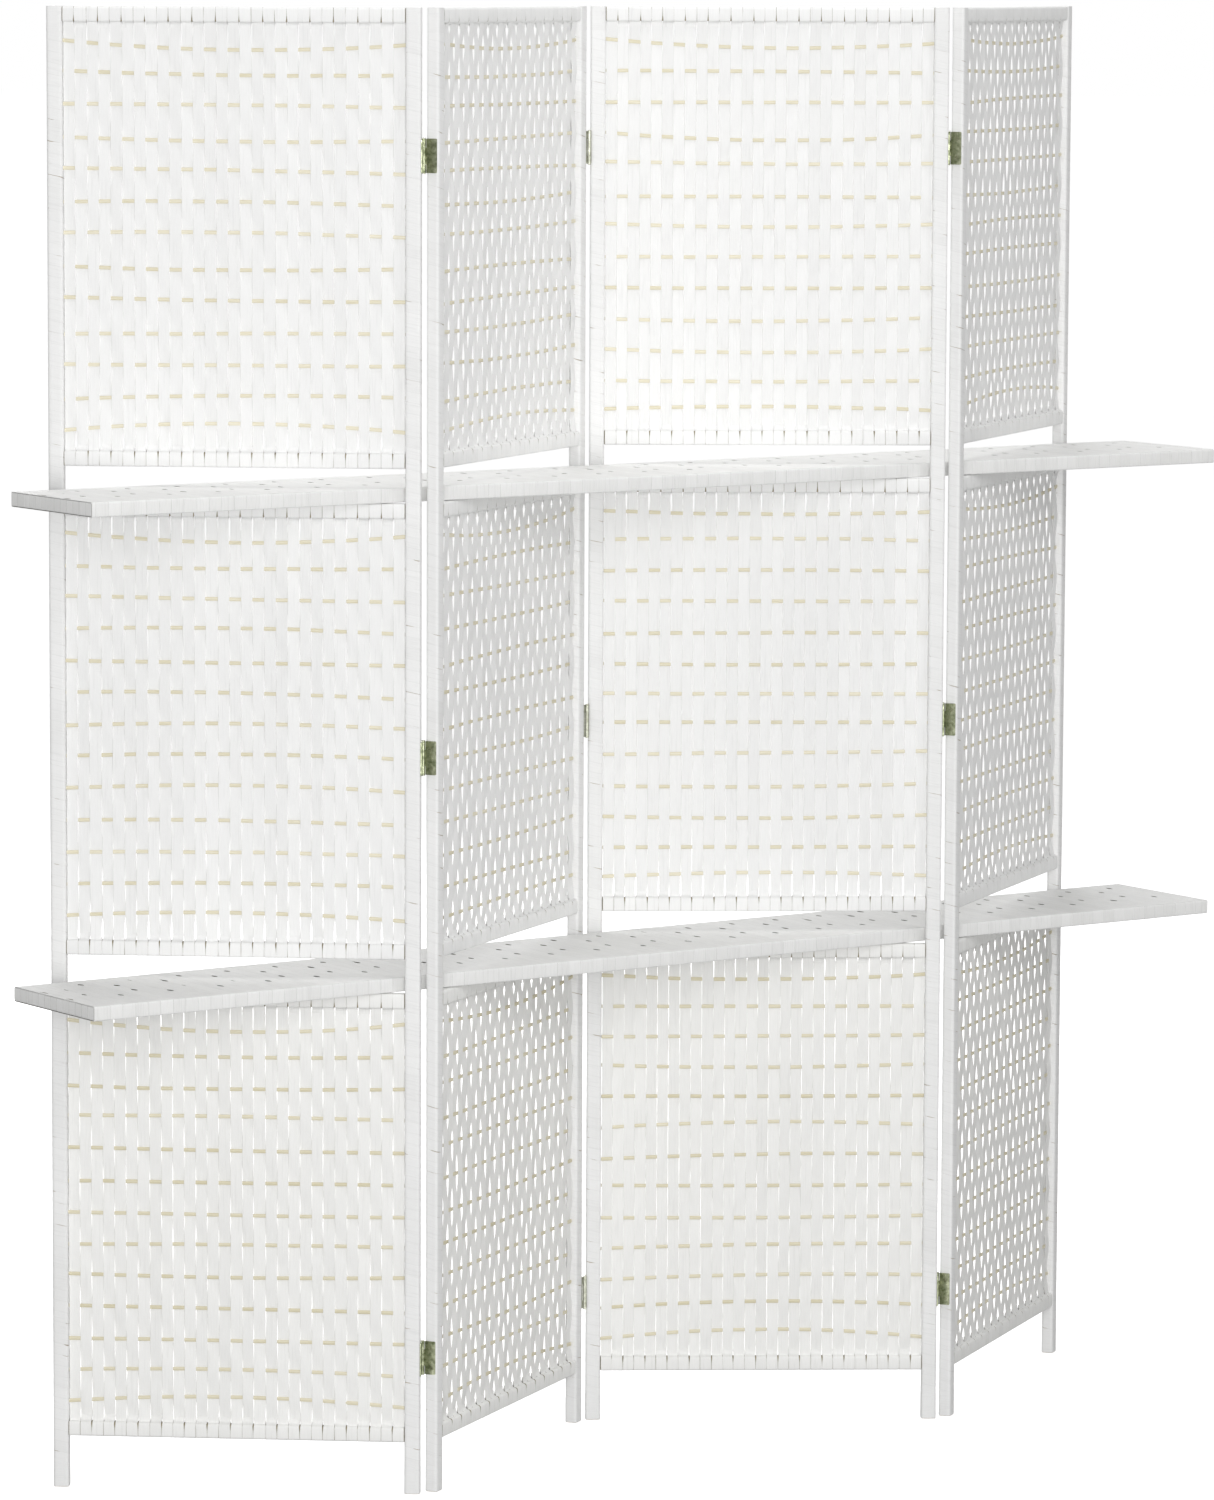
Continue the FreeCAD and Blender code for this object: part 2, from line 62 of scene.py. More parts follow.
# How each thin rod lies, top row first: lift, tilt and bow at mid-span, in mm
RODS = {
    (1, "lower"): (
        (4.8, 0.3, -12), (3.2, 0.9, -2.8), (2.2, 2.2, -2.5), (3.7, -0.1, 1.2), (2.4, -0.8, -0.7),
        (0.8, 1, 0.1), (0.4, 0.4, -0.5), (0.8, 3.3, 1.3), (2.8, 1.9, -2.6), (-0.1, -1.8, 0.4),
        (-0.9, -0.2, 0.4), (-1.9, -0.9, 4.5), (-1.4, -0.7, 8.4)),
    (1, "middle"): (
        (3.7, -0.9, -9.5), (2.8, 0.2, -1.7), (3.6, -3.7, -0.4), (3, -2.4, 3.9), (3.4, -1.3, 0.1),
        (2.4, -4, 3.8), (3.2, 0.5, 4.5), (4.8, 0.7, 4.6), (4.2, 0, 6.1), (3.3, -1.2, 2.9), (3.8, 0.3, 2.4),
        (4.3, 1.4, 3), (3.4, -1.3, 6.6)),
    (1, "upper"): (
        (-2, -3.8, -8.2), (1, -3.5, -2.5), (0.7, -2.6, 1), (-0.1, -2.8, -2.8), (0.3, -5.5, 1.4),
        (0, -2.9, 2.9), (1.8, -3.2, 3), (1.5, -0.3, -2.9), (2.3, -3, -1.4), (0, 3.2, 0.3), (1, 0.8, 0),
        (0.1, 4.9, 3.4), (-0.5, 0.6, 9.2)),
    (2, "lower"): (
        (5, -2, -11.3), (0.7, 3.6, -2), (5, -2.6, -1.1), (1.1, 2.4, -0.3), (4.7, -2.5, -0.2),
        (2.3, -1.9, 1.4), (0.4, 0.3, -1.1), (-0.9, -3.4, -0.5), (-0.2, -0.3, -0.4), (-1.5, -4, 2.3),
        (0.4, -4, -3.3), (1.6, -2.5, 2.6), (-2.9, -4, 10.2)),
    (2, "middle"): (
        (5, 1.3, -12), (0.8, 2.6, 2.8), (5, -4, -0.5), (5, 0.4, -1), (-0.4, 4, 2.8), (4.9, -1.2, -1.6),
        (-0.7, 0.7, 1.7), (3, -2.6, -3.6), (1.5, -3.6, 0.5), (1.7, -1.7, -0.1), (2.2, 2.8, -0.8),
        (-0.6, -4, 0.5), (4, 4, 1.1)),
    (2, "upper"): (
        (-1, 0.5, -8.7), (-1.6, 2.1, -2.9), (0.9, -1, -0.7), (-2.1, 4, -0.1), (-0.2, -3.9, 0.7),
        (2, 4, -3.6), (4.6, 2.8, -2), (-2.9, 0.8, 2), (-1.3, 4, 1.5), (3.9, 4, -2.1), (5, 2.1, -3.6),
        (-2.8, 3.8, 3.6), (-0.4, 3.7, 7.9)),
    (3, "lower"): (
        (2.8, 0.9, -6.1), (0.9, 0.2, 0), (1.3, 1.9, 0), (3.3, 1.2, -3.7), (1.7, 0.3, -0.7),
        (0.9, 3.4, 5.7), (0.5, 6, 2.9), (2.8, 0.6, -1.3), (0.2, 1.8, -1.3), (1, 6, 1.8), (-1.1, 5.2, 3.3),
        (-0.2, 3.2, 6.6), (-2.2, 1.2, 10.8)),
    (3, "middle"): (
        (0.8, -0.9, -3.5), (2.9, -1.2, 2.4), (2.6, -0.2, 1.3), (3.1, -0.9, 0.1), (0.9, 1.4, 0.8),
        (0.9, -0.1, -1.1), (1.8, -0.8, -0.4), (3.8, 0, 0.3), (3.7, 4, -0.1), (1.7, 2.8, -2.8),
        (1, 1.7, -3.3), (-0.3, 0.9, -0.3), (0.8, 1.1, 4.9)),
    (3, "upper"): (
        (-1.9, -3.9, -8.3), (-1.4, -1.8, 0.5), (-0.9, 0.6, 0), (-1.4, -2.4, -8.2), (1.6, -1.5, -1.8),
        (-2.9, -0.3, 0.4), (1.9, 0, -3.6), (-0.1, 1.6, -0.3), (-0.6, 0.5, -0.6), (-0.1, 2.1, -3.8),
        (-0.2, 0.7, -4.5), (-0.9, 0.8, -1.8), (0.9, -0.9, 3.8)),
    (4, "lower"): (
        (0.1, -0.6, -9.5), (1.7, 0.1, -1.3), (1, -0.2, -0.4), (0.4, 0, 1), (0.9, 0.4, -0.1),
        (2.3, -0.1, 0.2), (0.7, -0.7, 1.9), (1.4, 0.4, 0.1), (2.1, 0.7, 1.6), (0.9, 2.1, -0.4),
        (-0.3, -1, 0.3), (2.2, -0.2, 2.3), (1.7, 0.2, 10.7)),
    (4, "middle"): (
        (2, -0.4, -9), (1.6, 0, -3.5), (0.9, -4.3, 1.4), (-0.9, 2.3, 0.9), (0.6, -1.7, 2.2),
        (1.9, -0.3, -1.7), (0.8, 3.1, -0.7), (1.7, 1.2, 0.4), (2.1, -1.1, 1.2), (0.2, -1.1, -0.3),
        (0.5, -0.1, 1.4), (0.4, 1.2, 2.2), (0.5, 0.7, 7.5)),
    (4, "upper"): (
        (1.8, 0.3, -7.9), (1.6, 0.7, -4.6), (0.2, 3.8, 1.2), (1.7, 0.1, -1.5), (1.8, -0.4, -0.6),
        (-0.2, 0.7, -2.8), (-0.5, 0, 2.7), (1.6, -0.6, 1.7), (-0.8, -1.1, -1.7), (-1.2, -2.5, -0.4),
        (0.6, -1.1, 0.4), (0.2, 1.4, 2.5), (3.1, 1.1, 10)),
}


def rod_line(panel, name, row, s):
    """Height of a rod's middle at s along its panel."""
    lift, tilt, bow = RODS[(panel, name)][row]
    u = (np.asarray(s) - POST_W) / (PANEL_W - 2 * POST_W)
    return ROD_TOP[name] - ROD_STEP * row + lift + tilt * (u - 0.5) + bow * 4 * u * (1 - u)


def stand(panel, p):
    """Points in a panel's own frame (along, to the back, up; mm) to the shared frame in metres."""
    a = math.radians(HEADING[panel])
    p = np.asarray(p, float)
    out = np.empty_like(p)
    out[..., 0] = CORNER[panel][0] + math.cos(a) * p[..., 0] - math.sin(a) * p[..., 1]
    out[..., 1] = CORNER[panel][1] + math.sin(a) * p[..., 0] + math.cos(a) * p[..., 1]
    out[..., 2] = p[..., 2]
    return out * MM


def metres(p):
    return np.asarray(p, float) * MM


# ------------------------------------------------------------ mesh builder
class Builder:
    """Gathers swept bands and bars into one mesh. Each point keeps where it lies on its own band (across, along, a
    number of the band), its tone and its edge value; both also carry painted shade."""

    def __init__(self, columns):
        self.v, self.q, self.caps = [], [], []
        self.grain, self.tone, self.edge, self.uv = [], [], [], []
        self.n, self.band, self.column, self.columns = 0, 0, 0, columns

    def sweep(self, rings, across, along, tone, edge, loop=False, fold=1):
        """rings is (rings, sides, 3); across (rings, sides); along (rings,). A long band is
        laid out over fold columns of the picture plane."""
        L, M = rings.shape[:2]
        at = self.n
        self.v.append(rings.reshape(-1, 3))
        g = np.empty((L, M, 3))
        g[..., 0], g[..., 1], g[..., 2] = across, along[:, None], self.band * 7.31
        self.grain.append(g.reshape(-1, 3))
        self.tone.append(np.broadcast_to(np.asarray(tone), (L,))[:, None].repeat(M, 1).reshape(-1))
        self.edge.append(np.broadcast_to(edge, (L, M)).reshape(-1))
        i = np.arange(L if loop else L - 1)[:, None]
        j = np.arange(M)[None, :]
        i2, j2 = (i + 1) % L, (j + 1) % M
        quads = np.stack(np.broadcast_arrays(at + i * M + j, at + i * M + j2, at + i2 * M + j2, at + i2 * M + j), -1)
        self.q.append(quads.reshape(-1, 4))
        # a strip of the picture plane for each band, so no two faces share a place
        rim = np.linalg.norm(np.roll(rings, -1, 1) - rings, axis=2).mean(0)
        cut = np.concatenate([[0], np.cumsum(rim)]) / rim.sum()
        steps = np.concatenate([along, [along[-1] + (along[1] - along[0])]])
        rise = (steps - steps[0]) / (steps[-1] - steps[0]) if loop else (steps[:-1] - steps[0]) / (steps[-2] - steps[0])
        u = 0.02 + 0.96 * cut
        w = 0.01 + 0.98 * rise
        ii, jj = np.broadcast_arrays(i, j)
        ii2 = ii + 1
        part = np.minimum((rise[ii] * fold + 1e-9).astype(int), fold - 1)
        x0, x1 = (self.column + part + u[jj]) / self.columns, (self.column + part + u[jj + 1]) / self.columns
        y0, y1 = w[ii] * fold - part, w[ii2] * fold - part
        if fold > 1:
            y0, y1 = 0.02 + 0.94 * y0, 0.02 + 0.94 * y1
        c = np.stack([np.stack([x0, y0], -1), np.stack([x1, y0], -1),
                      np.stack([x1, y1], -1), np.stack([x0, y1], -1)], -2)
        self.uv.append(c.reshape(-1, 2))
        at_start = ((self.column + u[0]) / self.columns, 0.02)
        at_end = ((self.column + fold - 1 + u[0]) / self.columns, 0.98)
        if not loop:
            self.caps.append((list(range(at + M - 1, at - 1, -1)), at_start))
            self.caps.append((list(range(at + (L - 1) * M, at + L * M)), at_end))
        self.n += L * M
        self.band += 1
        self.column += fold

    def ribbon(self, path, side, left, right, thick, tone, loop=False, chamfer=0.3, lean=None, under=0.0, rim=1.0):
        """A flat band along path, its width along side, reaching left and right of the path."""
        path, side = np.asarray(path, float), np.asarray(side, float)
        if loop:
            t = np.roll(path, -1, 0) - np.roll(path, 1, 0)
        else:
            t = np.gradient(path, axis=0)
        t /= np.linalg.norm(t, axis=1)[:, None]
        side = side - t * (side * t).sum(1)[:, None]
        side /= np.linalg.norm(side, axis=1)[:, None]
        up = np.cross(t, side)
        if lean is not None:
            c, s = np.cos(lean)[:, None], np.sin(lean)[:, None]
            side, up = side * c + up * s, up * c - side * s
        L = len(path)
        left, right = np.broadcast_to(left, (L,))[:, None], np.broadcast_to(right, (L,))[:, None]
        h = np.broadcast_to(thick, (L,))[:, None] / 2
        x = [right, right - chamfer, chamfer - left, -left, chamfer - left, right - chamfer]
        y = [0 * h, h, h, 0 * h, -h, -h]
        # edge values: rim on the side tips, under on the back face; a high under paints shade onto the back face
        edge = np.array([rim, 0, 0, rim, under, under])
        rings = np.stack([path + side * a + up * b for a, b in zip(x, y)], 1)
        across = np.concatenate([np.broadcast_to(a, (L, 1)) for a in x], 1)
        d = np.linalg.norm(np.diff(path, axis=0), axis=1)
        along = np.concatenate([[0], np.cumsum(d)])
        self.sweep(rings, across, along, tone, edge, loop)

    def finish(self, name, place, material, sharp=38.0):
        v = place(np.concatenate(self.v))
        q = np.concatenate(self.q)
        me = bpy.data.meshes.new(name)
        nq, caps = len(q), self.caps
        loops = np.concatenate([q.reshape(-1)] + [np.array(c) for c, _ in caps]) if caps else q.reshape(-1)
        sizes = np.concatenate([np.full(nq, 4), np.array([len(c) for c, _ in caps], int)]) if caps else np.full(nq, 4)
        starts = np.concatenate([[0], np.cumsum(sizes)[:-1]])
        me.vertices.add(len(v))
        me.vertices.foreach_set("co", v.reshape(-1))
        me.loops.add(len(loops))
        me.loops.foreach_set("vertex_index", loops.astype(np.int32))
        me.polygons.add(len(sizes))
        me.polygons.foreach_set("loop_start", starts.astype(np.int32))
        uv = np.concatenate(self.uv + [np.array([at] * len(c)) for c, at in caps])
        layer = me.uv_layers.new(name="OFBake")
        me.update(calc_edges=True)
        layer.data.foreach_set("uv", uv.reshape(-1))
        for key, kind, data, field in (("grain", "FLOAT_VECTOR", self.grain, "vector"),
                                       ("tone", "FLOAT", self.tone, "value"), ("edge", "FLOAT", self.edge, "value")):
            a = me.attributes.new(key, kind, "POINT")
            a.data.foreach_set(field, np.concatenate(data).astype(np.float32).reshape(-1))
        me.polygons.foreach_set("use_smooth", np.ones(len(sizes), bool))
        me.set_sharp_from_angle(angle=math.radians(sharp))
        me.validate()
        ob = bpy.data.objects.new(name, me)
        bpy.context.scene.collection.objects.link(ob)
        me.materials.append(material)
        return ob


def drift(rng, n, step, size):
    """Smooth random wander over n samples."""
    k = max(4, int(n / step) + 3)
    return np.interp(np.linspace(0, k - 1, n), np.arange(k), rng.normal(0, size, k))


# --------------------------------------------------------------- materials
def new_material(name):
    m = bpy.data.materials.new(name)
    m.use_nodes = True
    nt = m.node_tree
    return m, nt, nt.nodes["Principled BSDF"]


def node(nt, kind, **settings):
    n = nt.nodes.new(kind)
    for k, v in settings.items():
        if k in n.bl_rna.properties:
            setattr(n, k, v)
        else:
            n.inputs[k].default_value = v
    return n


def stretched(nt, source, scale):
    m = node(nt, "ShaderNodeMapping")
    m.inputs["Scale"].default_value = scale
    nt.links.new(source, m.inputs["Vector"])
    return m.outputs["Vector"]


def noise(nt, vector, scale, detail=3.0, rough=0.55):
    n = node(nt, "ShaderNodeTexNoise")
    n.inputs["Scale"].default_value = scale
    n.inputs["Detail"].default_value = detail
    n.inputs["Roughness"].default_value = rough
    nt.links.new(vector, n.inputs["Vector"])
    return n.outputs["Fac"]


def ramp(nt, fac, stops):
    r = node(nt, "ShaderNodeValToRGB")
    e = r.color_ramp.elements
    e[0].position, e[0].color = stops[0][0], (*stops[0][1], 1)
    e[1].position, e[1].color = stops[-1][0], (*stops[-1][1], 1)
    for pos, col in stops[1:-1]:
        x = e.new(pos)
        x.color = (*col, 1)
    nt.links.new(fac, r.inputs["Fac"])
    return r.outputs["Color"]


def mix(nt, fac, a, b, kind="MIX"):
    m = node(nt, "ShaderNodeMix", data_type="RGBA", blend_type=kind)
    for socket, value in ((m.inputs[0], fac), (m.inputs[6], a), (m.inputs[7], b)):
        if isinstance(value, bpy.types.NodeSocket):
            nt.links.new(value, socket)
        elif isinstance(value, (int, float)):
            socket.default_value = value
        else:
            socket.default_value = (*value, 1)
    return m.outputs[2]


def span(nt, value, lo, hi, to_lo, to_hi):
    m = node(nt, "ShaderNodeMapRange")
    for key, v in (("From Min", lo), ("From Max", hi), ("To Min", to_lo), ("To Max", to_hi)):
        m.inputs[key].default_value = v
    nt.links.new(value, m.inputs["Value"])
    return m.outputs["Result"]


def maths(nt, op, a, b):
    m = node(nt, "ShaderNodeMath", operation=op)
    for socket, value in ((m.inputs[0], a), (m.inputs[1], b)):
        if isinstance(value, bpy.types.NodeSocket):
            nt.links.new(value, socket)
        else:
            socket.default_value = value
    return m.outputs[0]


def bump(nt, bsdf, height, strength, distance):
    b = node(nt, "ShaderNodeBump")
    b.inputs["Strength"].default_value = strength
    b.inputs["Distance"].default_value = distance
    nt.links.new(height, b.inputs["Height"])
    nt.links.new(b.outputs["Normal"], bsdf.inputs["Normal"])


def paper_material(name, light, dark, edge_grey_and_painted_shade, edge_grey_and_painted_shade_share):
    """White paper cord pressed flat: long fibres, soft creases, greyer cut edges; the edge attribute also paints shade
    into seams and onto inner faces.
    """
    m, nt, bsdf = new_material(name)
    grain = node(nt, "ShaderNodeAttribute", attribute_name="grain").outputs["Vector"]
    tone = node(nt, "ShaderNodeAttribute", attribute_name="tone").outputs["Fac"]
    edge = node(nt, "ShaderNodeAttribute", attribute_name="edge").outputs["Fac"]
    fibre = noise(nt, stretched(nt, grain, (1.0, 0.035, 1.0)), 1.6, 5.0, 0.6)
    crease = noise(nt, stretched(nt, grain, (0.32, 0.018, 1.0)), 1.0, 2.0, 0.5)
    mottle = noise(nt, stretched(nt, grain, (0.12, 0.05, 1.0)), 1.0, 3.0, 0.5)
    pulp = noise(nt, stretched(nt, grain, (2.2, 1.3, 1.0)), 1.0, 4.0, 0.65)
    body = ramp(nt, fibre, [(0.3, dark), (0.62, light)])
    body = mix(nt, span(nt, mottle, 0.35, 0.7, 0.0, 0.6), body, light)
    body = mix(nt, span(nt, crease, 0.30, 0.42, 0.26, 0.0), body, tuple(0.86 * c for c in dark))
    shade = ramp(nt, tone, [(0.0, (0.90, 0.90, 0.895)), (0.55, (0.965, 0.965, 0.963)), (1.0, (1.0, 1.0, 0.998))])
    body = mix(nt, 1.0, body, shade, "MULTIPLY")
    # painted shade: where the edge value is high (strip tips, seam edges of the post winding, inside faces of the shelf
    # cover) the colour is pulled toward the edge colour
    body = mix(nt, span(nt, edge, 0.0, 1.0, 0.0, edge_grey_and_painted_shade_share), body, edge_grey_and_painted_shade)
    nt.links.new(body, bsdf.inputs["Base Color"])
    nt.links.new(span(nt, pulp, 0.3, 0.7, 0.62, 0.82), bsdf.inputs["Roughness"])
    bsdf.inputs["Specular IOR Level"].default_value = 0.28
    height = maths(nt, "ADD", maths(nt, "MULTIPLY", fibre, 0.6), maths(nt, "ADD", maths(nt, "MULTIPLY", crease, 0.7), maths(nt, "MULTIPLY", pulp, 0.2)))
    bump(nt, bsdf, height, 0.45, 0.0005)
    return m


def rod_material():
    """Split bamboo, honey tan, with long dark grain lines."""
    m, nt, bsdf = new_material("split_rod_tan")
    grain = node(nt, "ShaderNodeAttribute", attribute_name="grain").outputs["Vector"]
    tone = node(nt, "ShaderNodeAttribute", attribute_name="tone").outputs["Fac"]
    lines = noise(nt, stretched(nt, grain, (1.6, 0.02, 1.0)), 1.5, 4.0, 0.6)
    blotch = noise(nt, stretched(nt, grain, (0.5, 0.03, 1.0)), 1.0, 3.0, 0.5)
    body = ramp(nt, lines, [(0.28, (0.66, 0.60, 0.435)), (0.5, (0.80, 0.755, 0.61)), (0.72, (0.85, 0.815, 0.70))])
    body = mix(nt, span(nt, blotch, 0.45, 0.75, 0.0, 0.55), body, (0.72, 0.66, 0.47))
    body = mix(nt, 1.0, body, ramp(nt, tone, [(0.0, (0.82, 0.80, 0.71)), (1.0, (1.0, 1.0, 1.0))]), "MULTIPLY")
    nt.links.new(body, bsdf.inputs["Base Color"])
    nt.links.new(span(nt, lines, 0.3, 0.7, 0.55, 0.40), bsdf.inputs["Roughness"])
    bump(nt, bsdf, lines, 0.5, 0.0003)
    return m


def wood_material(name, along, dark, mid, light):
    """Bare softwood; along is the direction of the grain in the shared frame."""
    m, nt, bsdf = new_material(name)
    where = node(nt, "ShaderNodeTexCoord").outputs["Object"]
    scale = [150.0, 150.0, 150.0]
    scale[along] = 6.0
    pos = stretched(nt, where, scale)
    lines = noise(nt, pos, 1.0, 5.0, 0.6)
    broad = noise(nt, stretched(nt, where, [x * 0.22 for x in scale]), 1.0, 3.0, 0.5)
    body = ramp(nt, lines, [(0.3, dark), (0.55, mid), (0.75, light)])
    body = mix(nt, span(nt, broad, 0.4, 0.7, 0.0, 0.5), body, tuple(0.5 * (a + b) for a, b in zip(dark, mid)))
    nt.links.new(body, bsdf.inputs["Base Color"])
    nt.links.new(span(nt, lines, 0.3, 0.7, 0.68, 0.5), bsdf.inputs["Roughness"])
    bump(nt, bsdf, lines, 0.4, 0.0004)
    return m


def brass_material(name, bright, dull, rough):
    """Lacquered brass gone dull in patches, with fine rolling lines."""
    m, nt, bsdf = new_material(name)
    where = node(nt, "ShaderNodeTexCoord").outputs["Object"]
    patch = noise(nt, where, 160.0, 4.0, 0.6)
    lines = noise(nt, stretched(nt, where, (2200.0, 2200.0, 90.0)), 1.0, 2.0, 0.5)
    body = ramp(nt, patch, [(0.34, dull), (0.66, bright)])
    body = mix(nt, span(nt, lines, 0.4, 0.6, 0.0, 0.25), body, tuple(0.7 * c for c in dull))
    nt.links.new(body, bsdf.inputs["Base Color"])
    bsdf.inputs["Metallic"].default_value = 1.0
    nt.links.new(span(nt, patch, 0.3, 0.7, rough + 0.16, rough - 0.06), bsdf.inputs["Roughness"])
    bump(nt, bsdf, lines, 0.25, 0.00008)
    return m


PAPER = paper_material("woven_paper_strip", (0.882, 0.882, 0.878), (0.840, 0.840, 0.833), (0.79, 0.79, 0.775), 0.6)
# painted light: the lower sections' paper is tinted warmer to stand in for warm light bounced up from the floor
LOW_BOUNCE_TINT_PAPER = paper_material("woven_paper_strip_painted_warm_bounce", (0.882, 0.880, 0.866), (0.836, 0.834, 0.814), (0.785, 0.782, 0.755), 0.6)
# the edge colours of these two papers are painted shade: 0.60 draws shadow lines along the post winding seams, 0.20
# darkens the inside of the shelf cover seen through its holes
WOUND = paper_material("wound_paper_strip", (0.862, 0.862, 0.858), (0.808, 0.808, 0.803), (0.60, 0.60, 0.59), 0.8)
COVER = paper_material("shelf_paper_strip", (0.875, 0.875, 0.868), (0.80, 0.80, 0.79), (0.20, 0.19, 0.175), 0.9)
ROD_TAN = rod_material()
POST_WOOD = wood_material("post_softwood", 2, (0.36, 0.30, 0.22), (0.47, 0.41, 0.32), (0.56, 0.50, 0.41))
# painted shade: rail and cross-bar wood is much darker than the posts so the wedges between strips and the shelf holes
# read as shadow
RAIL_WOOD_DARKENED_FOR_SHADE = wood_material("rail_softwood_darkened_for_shade", 0, (0.19, 0.16, 0.10), (0.28, 0.24, 0.155), (0.36, 0.31, 0.21))
BAR_WOOD_DARKENED_FOR_SHADE = wood_material("cross_bar_softwood_darkened_for_shade", 1, (0.13, 0.105, 0.065), (0.20, 0.165, 0.105), (0.27, 0.225, 0.15))
BRASS = brass_material("dull_brass", (0.47, 0.49, 0.35), (0.13, 0.15, 0.08), 0.30)
# painted reflection: a paler copy of the same brass, standing in for the bright reflection on the middle hinges
REFLECTION_PALE_BRASS = brass_material("brass_paled_for_painted_reflection", (0.62, 0.63, 0.54), (0.36, 0.37, 0.29), 0.44)
PIN_BRASS = brass_material("pin_brass", (0.72, 0.72, 0.64), (0.44, 0.44, 0.37), 0.24)
SCREW = brass_material("screw_brass", (0.42, 0.43, 0.30), (0.12, 0.13, 0.075), 0.28)

# ------------------------------------------------------------ woven strips
RAIL_OUT = 0.42                     # middle of a strip out from a rail's wood
WAVE = ROD_HALF + STRIP_T / 2 + 0.12    # middle of a strip off a rod's middle


SLIT = {"lower": (0.1, 0.45), "middle": (1.0, 1.0), "upper": (0.9, 0.7)}    # open slits at a section's foot and head


def rail_turn(zc, n_side, top):
    """A strip round a rail in (n, z): from its tail, laid against the strip itself on the far side, round the
    outer face, over the near face and along the inner one until it leaves for the weave."""
    hn, hz, r = RAIL_T / 2 + RAIL_OUT, RAIL_H / 2 + RAIL_OUT, RAIL_R + RAIL_OUT
    s = n_side
    pts = [(s * 0.55, hz + 7.5), (s * 0.45, hz + 5.0), (s * 0.0, hz + 2.9), (-s * 1.6, hz + 1.1), (-s * (hn - r), hz)]
    for a in (75, 50, 25):
        a = math.radians(a)
        pts.append((-s * (hn - r + r * math.cos(a)), hz - r + r * math.sin(a)))
    pts += [(-s * hn, hz - r), (-s * hn, 1.0), (-s * hn, -(hz - r))]
    for a in (25, 50, 75):
        a = math.radians(a)
        pts.append((-s * (hn - r + r * math.cos(a)), -(hz - r + r * math.sin(a))))
    pts += [(-s * (hn - r), -hz), (0.0, -hz), (s * (hn - r), -hz)]
    for a in (75, 50, 25):
        a = math.radians(a)
        pts.append((s * (hn - r + r * math.cos(a)), -(hz - r + r * math.sin(a))))
    pts += [(s * hn, -(hz - r)), (s * hn, 0.5), (s * hn, hz - r)]
    for a in (25, 50, 75):
        a = math.radians(a)
        pts.append((s * (hn - r + r * math.cos(a)), hz - r + r * math.sin(a)))
    pts += [(s * (hn - r), hz), (s * 2.7, hz), (s * 2.0, hz + 0.4), (s * 1.6, hz + 1.2), (s * 1.45, hz + 2.6)]
    pts = np.array(pts)
    if top:
        pts[:, 1] *= -1
    pts[:, 1] += zc
    return pts


